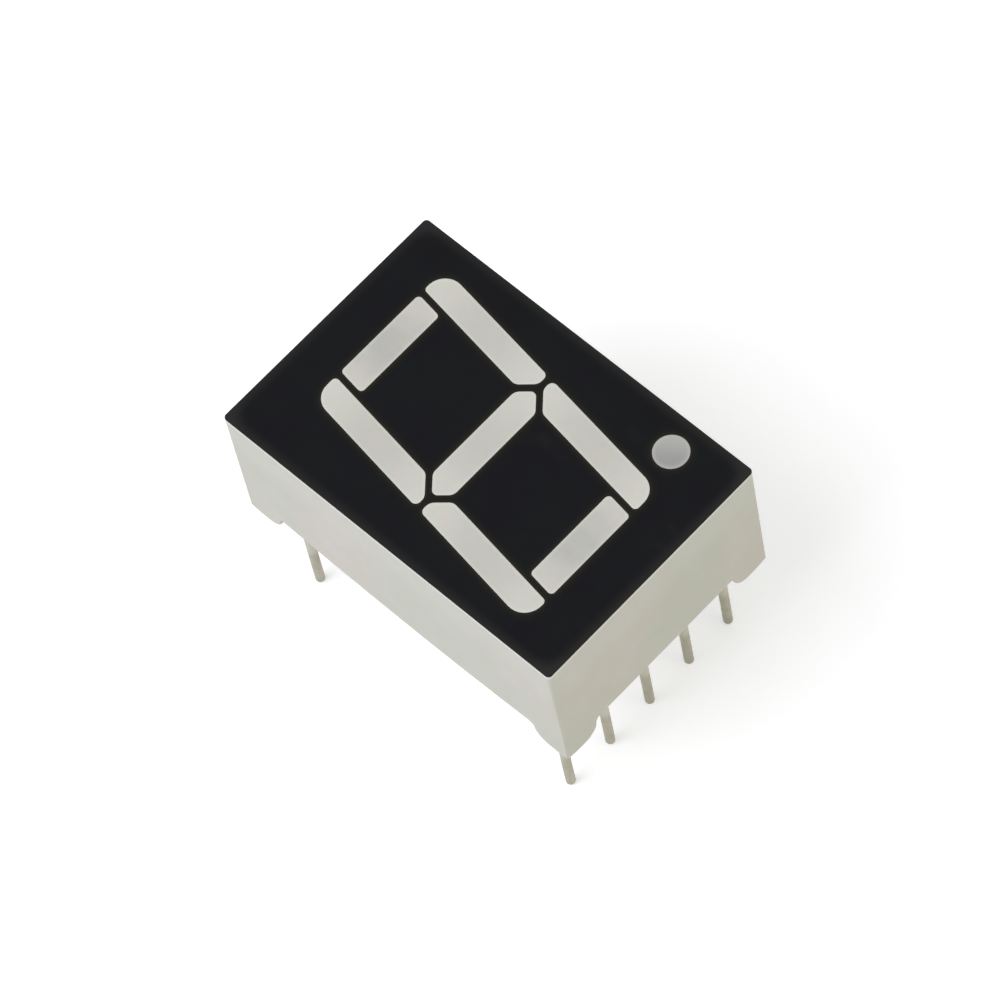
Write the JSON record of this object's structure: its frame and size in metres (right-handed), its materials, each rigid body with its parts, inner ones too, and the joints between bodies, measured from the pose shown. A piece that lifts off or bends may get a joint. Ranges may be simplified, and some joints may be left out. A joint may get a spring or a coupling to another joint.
{
  "type": "seven segment display",
  "caption": "Single-digit seven segment display with a decimal point, in a moulded box on corner feet, with two rows of round pins below.",
  "frame": {"origin": "midway between the pins' tips, in the plane that they touch", "axes": "+X across the digit to its right, +Y up the digit, +Z out of the front face"},
  "size_m": [0.0126, 0.019, 0.0148],
  "materials": {
    "reflector": "moulded, fine satin",
    "film": "printed black, matte",
    "resin": "cast diffusing resin, satin",
    "dot_resin": "cast diffusing resin, satin",
    "laminate": "glass-fibre laminate",
    "copper": "etched",
    "potting": "cast resin, glossy",
    "die": "polished",
    "wire": "drawn, bright",
    "tinned": "tin plated, dull",
    "solder": "cast, bright"
  },
  "bodies": {
    "root": {"housing": "reflector", "face_film": "film", "segment_a": "resin", "segment_b": "resin", "segment_c": "resin", "segment_d": "resin", "segment_e": "resin", "segment_f": "resin", "segment_g": "resin", "decimal_point": "dot_resin", "circuit_board": "laminate", "copper_tracks": "copper", "back_potting": "potting", "led_die_a": "die", "led_die_b": "die", "led_die_c": "die", "led_die_d": "die", "led_die_e": "die", "led_die_f": "die", "led_die_g": "die", "led_die_dp": "die", "bond_wire_a": "wire", "bond_wire_b": "wire", "bond_wire_c": "wire", "bond_wire_d": "wire", "bond_wire_e": "wire", "bond_wire_f": "wire", "bond_wire_g": "wire", "bond_wire_dp": "wire", "pin_1": "tinned", "pin_2": "tinned", "pin_3": "tinned", "pin_4": "tinned", "pin_5": "tinned", "pin_6": "tinned", "pin_7": "tinned", "pin_8": "tinned", "pin_9": "tinned", "pin_10": "tinned", "solder_joint_1": "solder", "solder_joint_2": "solder", "solder_joint_3": "solder", "solder_joint_4": "solder", "solder_joint_5": "solder", "solder_joint_6": "solder", "solder_joint_7": "solder", "solder_joint_8": "solder", "solder_joint_9": "solder", "solder_joint_10": "solder"}
  },
  "joints": []
}
